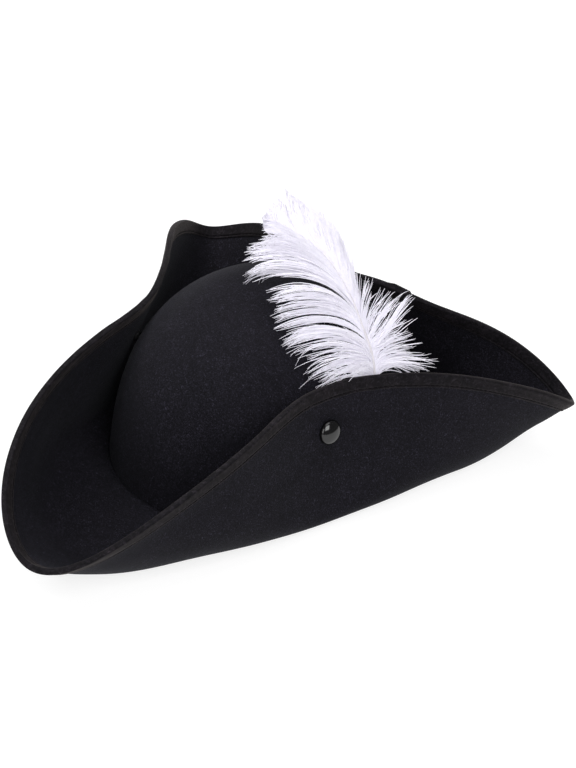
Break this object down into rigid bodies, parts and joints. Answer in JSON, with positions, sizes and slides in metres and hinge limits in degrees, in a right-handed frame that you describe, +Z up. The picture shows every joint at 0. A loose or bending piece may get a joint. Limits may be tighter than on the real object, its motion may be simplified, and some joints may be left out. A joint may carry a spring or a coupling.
{
  "type": "tricorn hat",
  "caption": "Felt hat with a domed crown, a bound brim turned up on three sides to three points, press studs that hold the sides up, and an ostrich plume behind one side.",
  "frame": {"origin": "middle of the hat's outer box, on the surface that it rests on", "axes": "+Z up, -Y towards the front point, +X towards the wearer's left"},
  "size_m": [0.3048, 0.3708, 0.163],
  "materials": {
    "felt": "matte black wool felt with a fine short nap",
    "tape": "warm black woven tape, folded over the edge and stitched",
    "studs": "glossy black domed caps",
    "feather": "soft white ostrich feather with a cream shaft"
  },
  "bodies": {
    "root": {"crown": "felt", "brim": "felt", "brim_binding": "tape", "stud_left": "studs", "stud_right": "studs", "stud_back": "studs", "plume": "feather", "plume_shaft": "feather"}
  },
  "joints": []
}
